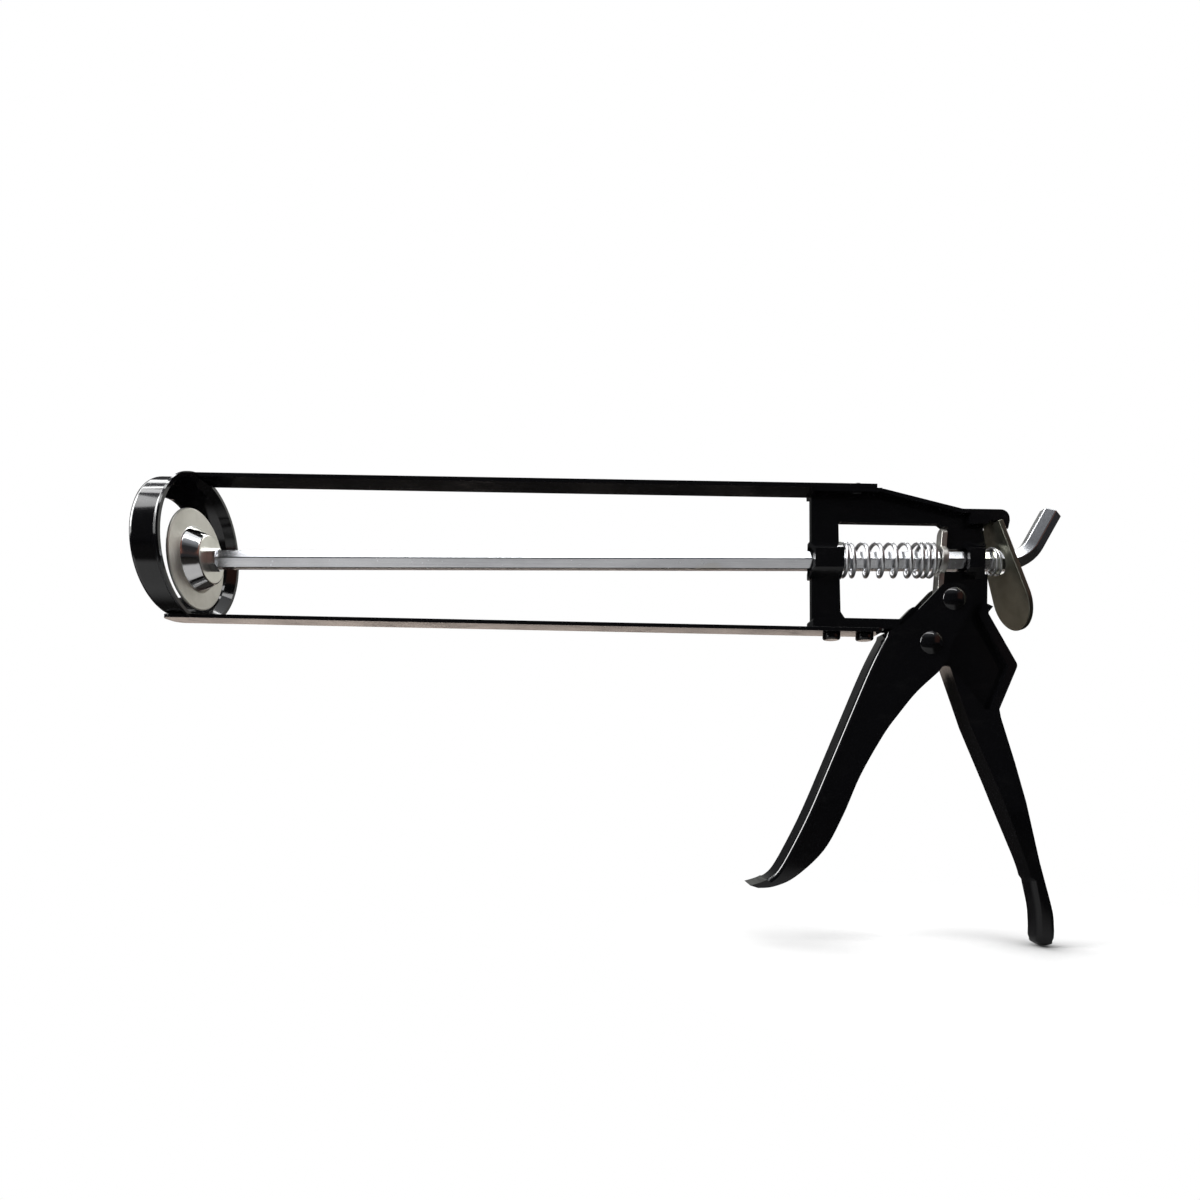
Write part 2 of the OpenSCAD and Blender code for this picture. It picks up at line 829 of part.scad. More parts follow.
module push_rod() {
    straight = body_x + 76 - shoulder_x;
    lap = 0.01;
    hexagon = [for (a = [30:60:330]) rod_corner_r * [cos(a), sin(a)]];
    color([0.8, 0.81, 0.84])
        along_rod(shoulder_x) {
            rotate([0, 90, 0])
                linear_extrude(height = straight) polygon(hexagon);
            translate([spigot_x - shoulder_x, 0, 0])
                bar(spigot_r, shoulder_x - spigot_x + lap);
            translate([straight, 0, bend_r])
                rotate([90, 0, 0])
                    rotate([0, 0, -90])
                        rotate_extrude(angle = bend_angle)
                            translate([bend_r, 0])
                                polygon(hexagon);
            translate([straight, 0, bend_r])
                rotate([0, -bend_angle, 0])
                    translate([0, 0, -bend_r])
                        rotate([0, 90, 0])
                            linear_extrude(height = bend_leg) polygon(hexagon);
        }
}

// Pressed disc: a flat rim with a hollow hub towards the rear
module piston_disc() {
    hub_base_r = hub_base_d / 2;
    hub_face_r = hub_face_d / 2;
    slope = (hub_base_r - hub_face_r) / (hub_h - disc_t);
    section = [
        [spigot_r + run_gap, hub_h - disc_t],
        [spigot_r + run_gap, hub_h],
        [hub_face_r, hub_h],
        [hub_base_r, disc_t],
        [disc_r, disc_t],
        [disc_r, 0],
        [hub_base_r - disc_t * (1 - slope), 0],
        [hub_face_r - disc_t, hub_h - disc_t]
    ];
    color([0.72, 0.71, 0.68])
        along_rod(disc_x)
            rotate([0, 90, 0])
                rotate_extrude()
                    polygon(section);
}

module nut(x, af, thickness) {
    along_rod(x)
        difference() {
            bar(af / 2 / cos(30), thickness, 6);
            translate([-1, 0, 0]) bar(spigot_r + fit, thickness + 2);
        }
}

module piston_lock_nut() {
    color([0.7, 0.72, 0.75])
        nut(face_x, lock_nut_af, lock_nut_t);
}

module piston_nut() {
    color([0.7, 0.72, 0.75])
        nut(face_x - disc_t - washer_t - nut_t, nut_af, nut_t);
}

module piston_washer() {
    color([0.7, 0.72, 0.75])
        along_rod(face_x - disc_t - washer_t)
            difference() {
                bar(6.2, washer_t);
                translate([-1, 0, 0]) bar(spigot_r + fit, washer_t + 2);
            }
}

// Straight top edge with a narrow tab, straight sides and a round thumb end
module lever_outline() {
    thumb = [0, lever_thumb_r - lever_len];
    corner = [lever_top_w, 0];
    side = corner - thumb;
    start = atan2(side[1], side[0]) - acos(lever_thumb_r / norm(side));
    difference() {
        polygon(concat(
            [[lever_tab_w, 0], [lever_tab_w, lever_tab_h], [-lever_tab_w, lever_tab_h], [-lever_tab_w, 0]],
            [[-lever_top_w, 0]],
            arc(thumb, lever_thumb_r, 180 - start, 360 + start, 32),
            [corner]
        ));
        translate([0, -lever_hole_drop]) circle(r = lever_hole_r);
    }
}

module release_lever() {
    color([0.72, 0.72, 0.66])
        translate([lever_top[0], 0, lever_top[1]])
            rotate([0, -lever_cant, 0])
                rotate([90, 0, 90])
                    translate([0, 0, -lever_t / 2])
                        linear_extrude(lever_t)
                            lever_outline();
}

// Each turn leans with the lever, so the coil is longer below the rod
module release_spring() {
    front_gap = 0.1;
    rear_gap = 0.15;
    start = body_x + rear_face_x + release_wire / 2 + front_gap;
    coil_r = (release_od - release_wire) / 2;
    turns = 2.5;
    steps = 18;
    function lever_face(z) =
        lever_top[0] - lever_t / 2 / cos(lever_cant) + (lever_top[1] - z) * tan(lever_cant);
    color([0.8, 0.8, 0.8])
        wire([for (i = [0 : turns * steps])
            let (
                a = 180 + 360 * i / steps,
                z = rod_z(start) + coil_r * cos(a),
                gap = lever_face(z) - start - release_wire / 2 - rear_gap
            )
            [start + gap * i / (turns * steps), -coil_r * sin(a), z]], release_wire / 2);
}

front_ring();
top_strap();
bottom_strap();
body_left();
body_right();
top_strap_rivets();
bottom_strap_rivets();
trigger();
trigger_pivot_rivet();
trigger_pivot_bush();
pusher_pin();
pusher_sleeve();
drive_plate();
main_spring();
push_rod();
piston_disc();
piston_lock_nut();
piston_washer();
piston_nut();
release_lever();
release_spring();
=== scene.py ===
import json
import math
import bmesh
import bpy
from mathutils import Matrix, Vector

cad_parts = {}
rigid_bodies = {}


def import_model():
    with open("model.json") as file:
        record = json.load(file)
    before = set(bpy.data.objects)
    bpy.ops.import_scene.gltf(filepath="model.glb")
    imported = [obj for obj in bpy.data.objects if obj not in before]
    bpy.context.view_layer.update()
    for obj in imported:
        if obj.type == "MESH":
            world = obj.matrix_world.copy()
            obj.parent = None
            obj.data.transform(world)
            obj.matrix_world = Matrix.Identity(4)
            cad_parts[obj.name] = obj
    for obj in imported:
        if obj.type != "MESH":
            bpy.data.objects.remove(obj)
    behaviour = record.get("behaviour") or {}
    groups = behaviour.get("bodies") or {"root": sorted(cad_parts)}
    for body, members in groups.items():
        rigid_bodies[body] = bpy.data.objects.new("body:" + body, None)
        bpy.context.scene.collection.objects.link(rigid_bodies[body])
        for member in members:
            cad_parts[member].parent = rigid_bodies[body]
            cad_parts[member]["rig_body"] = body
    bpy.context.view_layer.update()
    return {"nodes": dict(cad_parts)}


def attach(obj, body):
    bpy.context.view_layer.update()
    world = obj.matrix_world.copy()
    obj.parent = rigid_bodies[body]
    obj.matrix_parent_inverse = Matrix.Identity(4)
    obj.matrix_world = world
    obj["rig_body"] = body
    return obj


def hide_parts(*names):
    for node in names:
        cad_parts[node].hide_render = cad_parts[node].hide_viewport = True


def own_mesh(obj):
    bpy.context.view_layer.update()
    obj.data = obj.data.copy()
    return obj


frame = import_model()
print("frame loaded")

pureWhite = (1, 1, 1, 1)
pureBlack = (0, 0, 0, 1)


def mm(*values):
    # millimetres to metres, one number or a point
    scaled = [v / 1000 for v in values]
    return scaled[0] if len(scaled) == 1 else tuple(scaled)


class Field:
    # a shader socket that takes part in ordinary sums
    def __init__(self, tree, socket=None):
        self.tree = tree
        self.socket = socket

    def node(self, kind, settings=None, values=None, out=0):
        made = self.tree.nodes.new("ShaderNode" + kind)
        for name, value in (settings or {}).items():
            setattr(made, name, value)
        for name, value in (values or {}).items():
            if isinstance(value, Field):
                self.tree.links.new(value.socket, made.inputs[name])
            else:
                made.inputs[name].default_value = value
        return Field(self.tree, made.outputs[out])

    def sum(self, operation, first, second):
        return self.node("Math", {"operation": operation}, {0: first, 1: second})

    def __add__(self, other):
        return self.sum("ADD", self, other)

    def __sub__(self, other):
        return self.sum("SUBTRACT", self, other)

    def __rsub__(self, other):
        return self.sum("SUBTRACT", other, self)

    def __mul__(self, other):
        return self.sum("MULTIPLY", self, other)

    __radd__ = __add__
    __rmul__ = __mul__

    def within(self, low, high):
        # 0 at low, 1 at high, smooth between
        return self.node("MapRange", {"interpolation_type": "SMOOTHSTEP"},
                         {"Value": self, "From Min": low, "From Max": high})

    def between(self, rise, fall):
        # 1 from the end of rise to the start of fall, 0 outside them
        return self.within(*rise) * (1 - self.within(*fall))

    def blend(self, off, on):
        return self.node("Mix", {"data_type": "RGBA"}, {0: self, 6: off, 7: on}, out=2)

    def axis(self, name):
        return self.node("SeparateXYZ", None, {0: self}, out=name)

    def distance(self, point):
        return self.node("VectorMath", {"operation": "DISTANCE"}, {0: self, 1: point}, out="Value")


def startMaterial(name):
    material = bpy.data.materials.new(name)
    material.use_nodes = True
    tree = material.node_tree
    shader = tree.nodes["Principled BSDF"]
    place = Field(tree).node("TexCoord", out="Object")
    return material, tree, shader, place


def noise(place, scale, detail=2.0, rough=0.5, stretch=None):
    if stretch:
        place = place.node("Mapping", None, {"Vector": place, "Scale": stretch})
    return place.node("TexNoise", None,
                      {"Vector": place, "Scale": scale, "Detail": detail, "Roughness": rough})


def relief(height, strength, depth):
    return height.node("Bump", None, {"Strength": strength, "Distance": depth, "Height": height})


def connect(tree, shader, **fields):
    for name, field in fields.items():
        tree.links.new(field.socket, shader.inputs[name.replace("_", " ")])


# enamel on the ring, straps, body, trigger and rivets
enamelLook = {
    "black": (0.0025, 0.0025, 0.003, 1),
    "rubbed": (0.007, 0.007, 0.0073, 1),
    "bareSteel": (0.16, 0.155, 0.15, 1),
    "gloss": 0.6,
    "smooth": 0.05,
    "peelScale": 520,
    "peelDepth": mm(0.006),
    "peelStrength": 0.55,
    "driftScale": 38,
    "driftBand": (0.3, 0.75),
    "driftHeight": 3,
    "rubScale": 160,
    "rubStretch": (0.45, 1, 1),
    "rubBand": (0.52, 0.78),
    "dustScale": 2600,
    "dustBand": (0.68, 0.8),
    "patchScale": 60,
    "patchBand": (0.45, 0.7),
    "wearScale": 210,
    "wearBand": (0.69, 0.75),
    "wearMetal": 0.8,
    "paler": {"rub": 0.6, "dust": 0.5},
    "rougher": {"drift": 0.07, "rub": 0.08, "dust": 0.12, "wear": 0.15},
}


def makeEnamel(look):
    # orange peel, rubbed and dusty patches, and edges worn to bare steel
    material, tree, shader, place = startMaterial("blackEnamel")
    paler, rougher = look["paler"], look["rougher"]
    peel = noise(place, look["peelScale"], detail=3)
    drift = noise(place, look["driftScale"], detail=3)
    rub = noise(place, look["rubScale"], detail=5, rough=0.7, stretch=look["rubStretch"])
    rub = rub.within(*look["rubBand"])
    dust = noise(place, look["dustScale"], detail=2).within(*look["dustBand"])
    dust = dust * noise(place, look["patchScale"], detail=2).within(*look["patchBand"])
    onEdge = place.node("Attribute", {"attribute_name": "edge"}, None, out="Fac")
    wear = noise(place, look["wearScale"], detail=6, rough=0.75).within(*look["wearBand"])
    wear = onEdge * wear
    tone = (rub * paler["rub"] + dust * paler["dust"]).blend(look["black"], look["rubbed"])
    tone = wear.blend(tone, look["bareSteel"])
    rough = drift.within(*look["driftBand"]) * rougher["drift"] + rub * rougher["rub"] \
        + dust * rougher["dust"] + wear * rougher["wear"] + look["smooth"]
    bump = relief(peel + drift * look["driftHeight"], look["peelStrength"], look["peelDepth"])
    connect(tree, shader, Base_Color=tone, Roughness=rough, Metallic=wear * look["wearMetal"],
            Normal=bump)
    shader.inputs["Specular IOR Level"].default_value = look["gloss"]
    return material


zincLook = {
    "bright": (0.86, 0.87, 0.89, 1),
    "shade": (0.62, 0.63, 0.66, 1),
    "stain": (0.72, 0.66, 0.54, 1),
    "smooth": 0.11,
    "drawScale": 1500,
    "drawStretch": (0.012, 1, 1),
    "drawBand": (0.45, 0.75),
    "drawDepth": mm(0.003),
    "drawStrength": 0.4,
    "cloudScale": 75,
    "cloudStretch": (0.35, 1, 1),
    "cloudBand": (0.4, 0.7),
    "stainBand": (0.6, 0.8),
    "stainAmount": 0.45,
    "spotScale": 900,
    "spotBand": (0.66, 0.78),
    "spotHeight": 0.2,
    "darker": {"cloud": 0.55, "drawn": 0.35},
    "rougher": {"drawn": 0.12, "cloud": 0.1, "spots": 0.1},
}


def makeZinc(look):
    # drawn bar with bright zinc plating: fine lines run along it
    material, tree, shader, place = startMaterial("brightZinc")
    darker, rougher = look["darker"], look["rougher"]
    drawn = noise(place, look["drawScale"], detail=4, rough=0.6, stretch=look["drawStretch"])
    cloud = noise(place, look["cloudScale"], detail=4, rough=0.6, stretch=look["cloudStretch"])
    spots = noise(place, look["spotScale"], detail=3).within(*look["spotBand"])
    dim = cloud.within(*look["cloudBand"]) * darker["cloud"] \
        + drawn.within(*look["drawBand"]) * darker["drawn"]
    tone = dim.blend(look["bright"], look["shade"])
    stained = cloud.within(*look["stainBand"]) * look["stainAmount"]
    tone = stained.blend(tone, look["stain"])
    rough = drawn * rougher["drawn"] + cloud * rougher["cloud"] + spots * rougher["spots"] \
        + look["smooth"]
    bump = relief(drawn + spots * look["spotHeight"], look["drawStrength"], look["drawDepth"])
    connect(tree, shader, Base_Color=tone, Roughness=rough, Normal=bump)
    shader.inputs["Metallic"].default_value = 1.0
    return material


springLook = {
    "bright": (0.74, 0.745, 0.76, 1),
    "dark": (0.36, 0.35, 0.34, 1),
    "smooth": 0.2,
    "spotScale": 700,
    "spotBand": (0.55, 0.75),
    "spotDepth": mm(0.01),
    "spotStrength": 0.4,
    "cloudScale": 120,
    "cloudBand": (0.5, 0.75),
    "darker": {"spots": 0.6, "cloud": 0.3},
    "rougher": {"spots": 0.2, "cloud": 0.12},
}


def makeSpringSteel(look):
    material, tree, shader, place = startMaterial("springSteel")
    darker, rougher = look["darker"], look["rougher"]
    spots = noise(place, look["spotScale"], detail=4, rough=0.65)
    cloud = noise(place, look["cloudScale"], detail=3)
    dim = spots.within(*look["spotBand"]) * darker["spots"] \
        + cloud.within(*look["cloudBand"]) * darker["cloud"]
    tone = dim.blend(look["bright"], look["dark"])
    rough = spots * rougher["spots"] + cloud * rougher["cloud"] + look["smooth"]
    bump = relief(spots, look["spotStrength"], look["spotDepth"])
    connect(tree, shader, Base_Color=tone, Roughness=rough, Normal=bump)
    shader.inputs["Metallic"].default_value = 1.0
    return material


# what the pressed sheet pieces share
sheetGrain = {
    "grainScale": 1700,
    "grainDepth": mm(0.008),
    "grainStrength": 0.5,
    "cloudScale": 95,
    "cloudBand": (0.42, 0.72),
    "scratchScale": 1100,
    "scratchStretch": (1, 0.05, 0.6),
    "scratchBand": (0.6, 0.8),
    "scratchHeight": 0.5,
    "darker": {"cloud": 0.6, "scratch": 0.25},
    "rougher": {"grain": 0.14, "cloud": 0.16, "scratch": 0.08},
}
satinLook = {
    **sheetGrain,
    "pale": (0.63, 0.62, 0.58, 1),
    "dark": (0.42, 0.41, 0.37, 1),
    "smooth": 0.3,
}
leverLook = {
    **sheetGrain,
    "pale": (0.27, 0.27, 0.22, 1),
    "dark": (0.17, 0.17, 0.13, 1),
    "smooth": 0.2,
}


def makeSatinZinc(look):
    # pressed sheet with dull zinc plating
    material, tree, shader, place = startMaterial("satinZinc")
    darker, rougher = look["darker"], look["rougher"]
    grain = noise(place, look["grainScale"], detail=4, rough=0.7)
    cloud = noise(place, look["cloudScale"], detail=5, rough=0.6)
    scratch = noise(place, look["scratchScale"], detail=3, stretch=look["scratchStretch"])
    scratch = scratch.within(*look["scratchBand"])
    dim = cloud.within(*look["cloudBand"]) * darker["cloud"] + scratch * darker["scratch"]
    tone = dim.blend(look["pale"], look["dark"])
    rough = grain * rougher["grain"] + cloud * rougher["cloud"] + scratch * rougher["scratch"] \
        + look["smooth"]
    bump = relief(grain + scratch * look["scratchHeight"], look["grainStrength"],
                  look["grainDepth"])
    connect(tree, shader, Base_Color=tone, Roughness=rough, Normal=bump)
    shader.inputs["Metallic"].default_value = 1.0
    return material


pistonLook = {
    "pale": (0.93, 0.92, 0.86, 1),
    "dark": (0.76, 0.75, 0.69, 1),
    "hubTone": (0.82, 0.82, 0.82, 1),
    "centre": mm(0, 0, -3.9),   # where the rod's centre line passes
    "hubBand": mm(12.1, 12.9),
    "hubSmooth": 0.07,
    "hubFlatness": 0.8,
    "faceBand": mm(9.0, 9.7),
    "faceRough": 0.22,
    "discSmooth": 0.36,
    "lineScale": 900.0,
    "lineDistortion": 2.0,
    "lineDetail": 3.0,
    "lineHeight": 0.4,
    "cloudScale": 110,
    "cloudBand": (0.4, 0.75),
    "grainScale": 1500,
    "grainDepth": mm(0.006),
    "grainStrength": 0.35,
    "darker": {"cloud": 0.7, "lines": 0.12},
    "rougher": {"grain": 0.12, "cloud": 0.12, "hubCloud": 0.06},
}


def makePiston(look):
    # dull plated disc whose drawn hub is polished
    material, tree, shader, place = startMaterial("pistonZinc")
    darker, rougher = look["darker"], look["rougher"]
    flat = place.node("VectorMath", {"operation": "MULTIPLY"}, {0: place, 1: (0, 1, 1)})
    out = flat.distance(look["centre"])
    hub = 1 - out.within(*look["hubBand"])
    face = 1 - out.within(*look["faceBand"])
    outwards = out.node("CombineXYZ", None, {0: out, 1: 0.0, 2: 0.0})
    lines = out.node("TexWave", {"wave_type": "BANDS", "bands_direction": "X"},
                     {"Vector": outwards, "Scale": look["lineScale"],
                      "Distortion": look["lineDistortion"], "Detail": look["lineDetail"]})
    cloud = noise(place, look["cloudScale"], detail=4, rough=0.6)
    grain = noise(place, look["grainScale"], detail=4, rough=0.7)
    dim = cloud.within(*look["cloudBand"]) * darker["cloud"] + lines * darker["lines"]
    tone = dim.blend(look["pale"], look["dark"])
    tone = (hub * (1 - face)).blend(tone, look["hubTone"])
    discRough = grain * rougher["grain"] + cloud * rougher["cloud"] + look["discSmooth"]
    hubRough = cloud * rougher["hubCloud"] + look["hubSmooth"]
    rough = (1 - hub) * discRough + hub * hubRough + face * look["faceRough"]
    height = (grain + lines * look["lineHeight"]) * (1 - hub * look["hubFlatness"])
    bump = relief(height, look["grainStrength"], look["grainDepth"])
    connect(tree, shader, Base_Color=tone, Roughness=rough, Normal=bump)
    shader.inputs["Metallic"].default_value = 1.0
    return material


pistonZinc = makePiston(pistonLook)
leverZinc = makeSatinZinc(leverLook)
finishes = {
    "black_enamel": makeEnamel(enamelLook),
    "bright_zinc": makeZinc(zincLook),
    "spring_steel": makeSpringSteel(springLook),
    "satin_zinc": makeSatinZinc(satinLook),
}
print("finishes made")

meshing = {
    "joinWithin": mm(0.004),
    "sheetFlat": 1.0,     # degrees below which two facets count as one flat
    "turnedFlat": 0.2,
    "sharpFrom": 25,      # degrees from which bevelWhere takes an edge
    "edgeFrom": 28,       # degrees from which every edge gets its small radius
    "flatWeight": 100,
    "wireSmooth": 60,
}


def pick(piece):
    bpy.ops.object.select_all(action="DESELECT")
    piece.select_set(True)
    bpy.context.view_layer.objects.active = piece


def cleanCopy(nodeName, pieceName, flat=meshing["sheetFlat"]):
    # a CAD node's mesh with its loose triangles joined and its flats whole again
    piece = bpy.data.objects.new(pieceName, frame["nodes"][nodeName].data.copy())
    bpy.context.scene.collection.objects.link(piece)
    pick(piece)
    bpy.ops.object.mode_set(mode="EDIT")
    bpy.ops.mesh.select_all(action="SELECT")
    bpy.ops.mesh.remove_doubles(threshold=meshing["joinWithin"])
    bpy.ops.mesh.dissolve_limited(angle_limit=math.radians(flat))
    bpy.ops.object.mode_set(mode="OBJECT")
    if piece.data.has_custom_normals:
        bpy.ops.mesh.customdata_custom_splitnormals_clear()
    piece.data.materials.clear()
    return piece


def bevelWhere(piece, test, radius, segments=3, clamp=True):
    # rounds the sharp outer edges for which test(middle, normals) holds
    pick(piece)
    bpy.ops.object.mode_set(mode="EDIT")
    bpy.ops.mesh.select_mode(type="EDGE")
    bpy.ops.mesh.select_all(action="DESELECT")
    mesh = bmesh.from_edit_mesh(piece.data)
    sharp = math.radians(meshing["sharpFrom"])
    for edge in mesh.edges:
        if len(edge.link_faces) == 2:
            middle = (edge.verts[0].co + edge.verts[1].co) / 2
            normals = [face.normal for face in edge.link_faces]
            if normals[0].angle(normals[1], 0) > sharp and edge.is_convex:
                edge.select = bool(test(middle, normals))
    mesh.select_flush_mode()
    bmesh.update_edit_mesh(piece.data)
    bpy.ops.mesh.bevel(offset=radius, segments=segments, profile=0.5, clamp_overlap=clamp)
    bpy.ops.object.mode_set(mode="OBJECT")


def finishPiece(piece, nodeName, slot, edge, segments=2, smooth=40, finish=None):
    # small radius on every sharp edge, smooth shading, finish and body
    finish = finish or finishes[slot]
    # the second place marks the rounded edges until they are in an attribute
    piece.data.materials.append(finish)
    piece.data.materials.append(finish)
    pick(piece)
    bevel = piece.modifiers.new("edges", "BEVEL")
    bevel.width = edge
    bevel.segments = segments
    bevel.limit_method = "ANGLE"
    bevel.angle_limit = math.radians(meshing["edgeFrom"])
    bevel.material = 1
    bpy.ops.object.modifier_apply(modifier=bevel.name)
    marks = [float(face.material_index == 1) for face in piece.data.polygons]
    piece.data.attributes.new("edge", "FLOAT", "FACE").data.foreach_set("value", marks)
    for face in piece.data.polygons:
        face.material_index = 0
    piece.data.materials.pop(index=1)
    bpy.ops.object.shade_smooth_by_angle(angle=math.radians(smooth))
    # flats keep their own normal, so only the rounded edges bend the light
    weighted = piece.modifiers.new("normals", "WEIGHTED_NORMAL")
    weighted.keep_sharp = True
    weighted.weight = meshing["flatWeight"]
    bpy.ops.object.modifier_apply(modifier=weighted.name)
    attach(piece, frame["nodes"][nodeName]["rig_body"])
    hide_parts(nodeName)
    print(piece.name, len(piece.data.polygons), "faces")
    return piece


# cartridge ring and straps
ring = {"edge": mm(0.3)}
frontRing = cleanCopy("front_ring", "frontRing")
finishPiece(frontRing, "front_ring", "black_enamel", ring["edge"], 2)

straps = {"edge": mm(0.3)}
for nodeName, pieceName in (("top_strap", "topStrap"), ("bottom_strap", "bottomStrap")):
    strap = cleanCopy(nodeName, pieceName)
    finishPiece(strap, nodeName, "black_enamel", straps["edge"], 3)

rivets = {"edge": mm(0.35)}
for nodeName, pieceName in (("top_strap_rivets", "topStrapRivets"),
                            ("bottom_strap_rivets", "bottomStrapRivets")):
    pair = cleanCopy(nodeName, pieceName)
    finishPiece(pair, nodeName, "black_enamel", rivets["edge"], 3)

# body halves
body = {
    "edge": mm(0.4),
    "handleRadius": mm(1.9),
    "handleBelow": mm(-122),
    "handleOut": mm(1.5),
    "sideFacing": 0.8,
    "guideRadius": mm(0.9),
    "guideOut": mm(2),
    "guideHigh": mm(9),
    "guideMiddle": mm(-0.2),
    "guideAlong": mm(253, 320),
    "levelWithin": 0.3,
    "footBelow": mm(-139),
    "footOut": mm(0.3),
    "footRadius": mm(1.6),
}


def onHandle(middle, normals):
    outward = any(abs(n.y) > body["sideFacing"] for n in normals)
    return middle.z < body["handleBelow"] and outward and abs(middle.y) > body["handleOut"]


def onFoot(middle, normals):
    return middle.z < body["footBelow"] and abs(middle.y) > body["footOut"]


def onGuide(middle, normals):
    # folds of the two raised guides that run along the rod
    level = all(abs(n.x) < body["levelWithin"] for n in normals)
    raised = abs(middle.y) > body["guideOut"]
    beside = abs(middle.z - body["guideMiddle"]) < body["guideHigh"]
    first, last = body["guideAlong"]
    return level and raised and beside and first < middle.x < last


for nodeName, pieceName in (("body_left", "bodyLeft"), ("body_right", "bodyRight")):
    half = cleanCopy(nodeName, pieceName)
    bevelWhere(half, onGuide, body["guideRadius"], 4)
    bevelWhere(half, onHandle, body["handleRadius"], 4, clamp=False)
    bevelWhere(half, onFoot, body["footRadius"], 3)
    finishPiece(half, nodeName, "black_enamel", body["edge"], 2)

# trigger and what turns in it
trigger = {
    "edge": mm(0.25),
    "smallEdge": mm(0.2),
    "cornerRadius": mm(1.8),
    "cornerBelow": mm(-30),
    "cheekAt": mm(6.0),
    "sideFacing": 0.9,
    "frontFacing": -0.5,
    "squareWithin": 0.2,
}


def onTriggerFront(middle, normals):
    sideways = any(abs(n.y) > trigger["sideFacing"] for n in normals)
    forwards = any(n.x < trigger["frontFacing"] and abs(n.y) < trigger["squareWithin"]
                   for n in normals)
    onCheek = abs(middle.y) > trigger["cheekAt"] and middle.z < trigger["cornerBelow"]
    return sideways and forwards and onCheek


shell = cleanCopy("trigger", "triggerShell")
bevelWhere(shell, onTriggerFront, trigger["cornerRadius"], 4, clamp=False)
finishPiece(shell, "trigger", "black_enamel", trigger["edge"], 2)
for nodeName, pieceName, slot in (("trigger_pivot_rivet", "triggerPivotRivet", "black_enamel"),
                                  ("pusher_pin", "pusherPin", "black_enamel"),
                                  ("trigger_pivot_bush", "triggerPivotBush", "bright_zinc"),
                                  ("pusher_sleeve", "pusherSleeve", "bright_zinc")):
    turned = cleanCopy(nodeName, pieceName, meshing["turnedFlat"])
    finishPiece(turned, nodeName, slot, trigger["smallEdge"], 2)

# drive plate and release lever
plates = {"edge": mm(0.25)}
drivePlate = cleanCopy("drive_plate", "drivePlate")
finishPiece(drivePlate, "drive_plate", "satin_zinc", plates["edge"], 3)
releaseLever = cleanCopy("release_lever", "releaseLever")
finishPiece(releaseLever, "release_lever", "satin_zinc", plates["edge"], 3, finish=leverZinc)

# springs
mainSpring = {
    "start": mm(264.97),
    "end": mm(300.55),
    "turns": (1, 5, 3),      # close at the front, open, looser again at the rear
    "closePitch": mm(1.54),
    "loosePitch": mm(2.4),
    "wire": mm(1.45),
    "across": mm(14),
    "rides": mm(0.5),        # how far it stands above the rod's centre line
}
releaseSpring = {
    "start": mm(321.28),
    "turns": 2.5,
    "wire": mm(0.75),
    "across": mm(11),
    "leverAt": mm(321.6, 14.5),
    "leverHalf": mm(0.85),
    "cant": math.radians(18.3),
    "clearance": mm(0.15),
}
rodLine = {"through": mm(252, -0.2), "rise": math.radians(0.96)}


def rodHeight(x):
    # the rod's centre line
    throughX, throughZ = rodLine["through"]
    return throughZ + (x - throughX) * math.tan(rodLine["rise"])


def coil(pieceName, points, wire):
    # round wire along a smooth path, made a mesh with closed ends
    bpy.ops.object.select_all(action="DESELECT")
    curve = bpy.data.curves.new(pieceName, "CURVE")
    curve.dimensions = "3D"
    curve.bevel_depth = wire / 2
    curve.bevel_resolution = 3
    curve.use_fill_caps = True
    path = curve.splines.new("POLY")
    path.points.add(len(points) - 1)
    for point, where in zip(path.points, points):
        point.co = (*where, 1)
    drawn = bpy.data.objects.new(pieceName, curve)
    bpy.context.scene.collection.objects.link(drawn)
    drawn.select_set(True)
    bpy.context.view_layer.objects.active = drawn
    bpy.ops.object.convert(target="MESH")
    return bpy.context.object


def dressSpring(piece, nodeName):
    piece.data.materials.append(finishes["spring_steel"])
    pick(piece)
    bpy.ops.object.shade_smooth_by_angle(angle=math.radians(meshing["wireSmooth"]))
    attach(piece, "frame")
    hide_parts(nodeName)
    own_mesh(piece)
    print(piece.name, len(piece.data.polygons), "faces")


def mainSpringPath(spec, steps=28):
    front, middle, rear = spec["turns"]
    close, loose = spec["closePitch"], spec["loosePitch"]
    length = spec["end"] - spec["start"]
    openPitch = (length - front * close - rear * loose) / middle
    radius = (spec["across"] - spec["wire"]) / 2
    points = []
    for i in range((front + middle + rear) * steps + 1):
        n = i / steps
        if n < front:
            x = n * close
        elif n < front + middle:
            x = front * close + (n - front) * openPitch
        else:
            x = length - (front + middle + rear - n) * loose
        x += spec["start"]
        centre = rodHeight(x) + spec["rides"]
        angle = 2 * math.pi * n
        points.append((x, -radius * math.sin(angle), centre + radius * math.cos(angle)))
    return points


def releaseSpringPath(spec, steps=28):
    # its rear end stops just short of the canted lever
    radius = (spec["across"] - spec["wire"]) / 2
    centre = rodHeight(spec["start"])
    leverX, leverZ = spec["leverAt"]
    leverFront = leverX - spec["leverHalf"] / math.cos(spec["cant"])
    count = spec["turns"] * steps
    points = []
    for i in range(int(count) + 1):
        angle = math.pi + 2 * math.pi * i / steps
        z = centre + radius * math.cos(angle)
        face = leverFront + (leverZ - z) * math.tan(spec["cant"])
        gap = face - spec["start"] - spec["wire"] / 2 - spec["clearance"]
        points.append((spec["start"] + gap * i / count, -radius * math.sin(angle), z))
    return points


mainCoil = coil("mainSpring", mainSpringPath(mainSpring), mainSpring["wire"])
dressSpring(mainCoil, "main_spring")
releaseCoil = coil("releaseSpring", releaseSpringPath(releaseSpring), releaseSpring["wire"])
dressSpring(releaseCoil, "release_spring")

